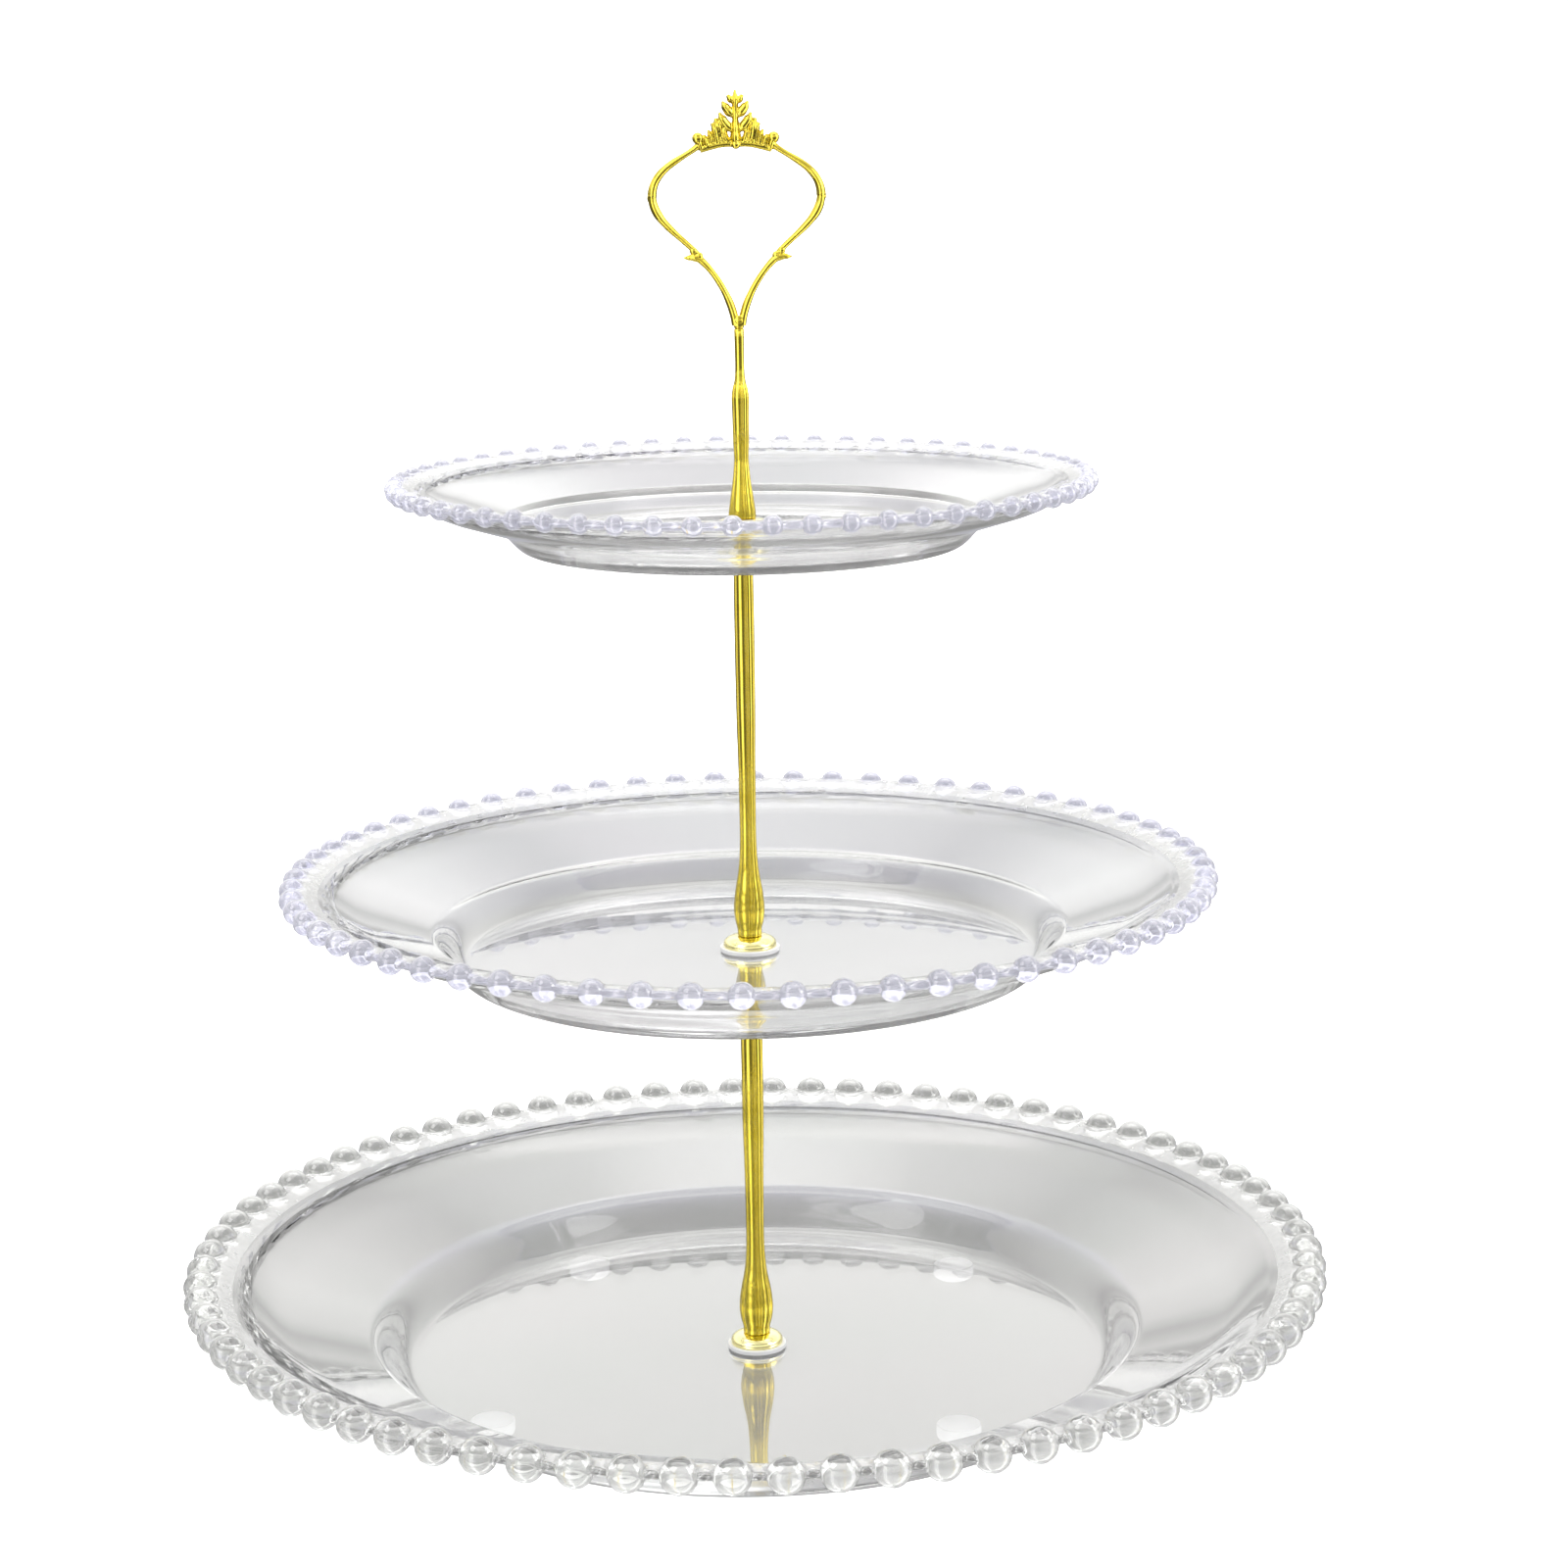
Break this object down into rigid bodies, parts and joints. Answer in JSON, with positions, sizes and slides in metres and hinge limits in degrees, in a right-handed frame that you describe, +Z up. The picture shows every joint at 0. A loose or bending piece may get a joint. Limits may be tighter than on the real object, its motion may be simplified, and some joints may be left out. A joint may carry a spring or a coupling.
{
  "type": "tiered cake stand",
  "caption": "Tiered cake stand: round clear glass plates with beaded rims, clamped on a gold fluted stem that screws together and ends in a crowned ring handle",
  "frame": {"origin": "on the table, under the axis of the stem", "axes": "+Z up along the stem, the handle's ring lies in the XZ plane, -Y faces the viewer"},
  "size_m": [0.3296, 0.3296, 0.3689],
  "materials": {
    "clear_glass": "clear pressed glass, fire-polished",
    "gold_plating": "polished lemon-gold plating on a zinc casting",
    "white_silicone": "soft translucent white silicone, matt"
  },
  "bodies": {
    "base": {"bottom_plate": "clear_glass", "foot_front_left": "white_silicone", "foot_front_right": "white_silicone", "foot_back_left": "white_silicone", "foot_back_right": "white_silicone"},
    "lower_stem": {"base_bolt": "gold_plating", "base_lower_washer": "gold_plating", "base_lower_gasket": "white_silicone", "base_upper_gasket": "white_silicone", "base_upper_washer": "gold_plating", "lower_column": "gold_plating", "middle_lower_washer": "gold_plating", "middle_lower_gasket": "white_silicone"},
    "middle_dish": {"middle_plate": "clear_glass"},
    "middle_seat": {"middle_upper_gasket": "white_silicone", "middle_upper_washer": "gold_plating"},
    "middle_stem": {"middle_stud": "gold_plating", "middle_column": "gold_plating", "top_lower_washer": "gold_plating", "top_lower_gasket": "white_silicone"},
    "top_dish": {"top_plate": "clear_glass"},
    "top_seat": {"top_upper_gasket": "white_silicone", "top_upper_washer": "gold_plating"},
    "handle": {"handle_stud": "gold_plating", "handle_stem": "gold_plating", "crown_loop": "gold_plating"}
  },
  "joints": [
    {"name": "stem_turn", "type": "hinge", "parent": "base", "child": "lower_stem", "pos_m": [0, 0, 0.0075], "axis": [0, 0, 1], "continuous": true},
    {"name": "middle_plate_turn", "type": "hinge", "parent": "lower_stem", "child": "middle_dish", "pos_m": [0, 0, 0.1276], "axis": [0, 0, 1], "continuous": true},
    {"name": "middle_column_lift", "type": "slide", "parent": "lower_stem", "child": "middle_seat", "axis": [0, 0, 1], "range_m": [0, 0.01]},
    {"name": "middle_column_unscrew", "type": "hinge", "parent": "middle_seat", "child": "middle_stem", "pos_m": [0, 0, 0.1276], "axis": [0, 0, 1], "range_deg": [0, 7560]},
    {"name": "top_plate_turn", "type": "hinge", "parent": "middle_stem", "child": "top_dish", "pos_m": [0, 0, 0.2477], "axis": [0, 0, 1], "continuous": true},
    {"name": "handle_lift", "type": "slide", "parent": "middle_stem", "child": "top_seat", "axis": [0, 0, 1], "range_m": [0, 0.01]},
    {"name": "handle_unscrew", "type": "hinge", "parent": "top_seat", "child": "handle", "pos_m": [0, 0, 0.2477], "axis": [0, 0, 1], "range_deg": [0, 7560]}
  ],
  "couplings": [
    {"joint": "middle_column_unscrew", "follows": "middle_column_lift", "rad_per_m": 12566},
    {"joint": "handle_unscrew", "follows": "handle_lift", "rad_per_m": 12566}
  ]
}
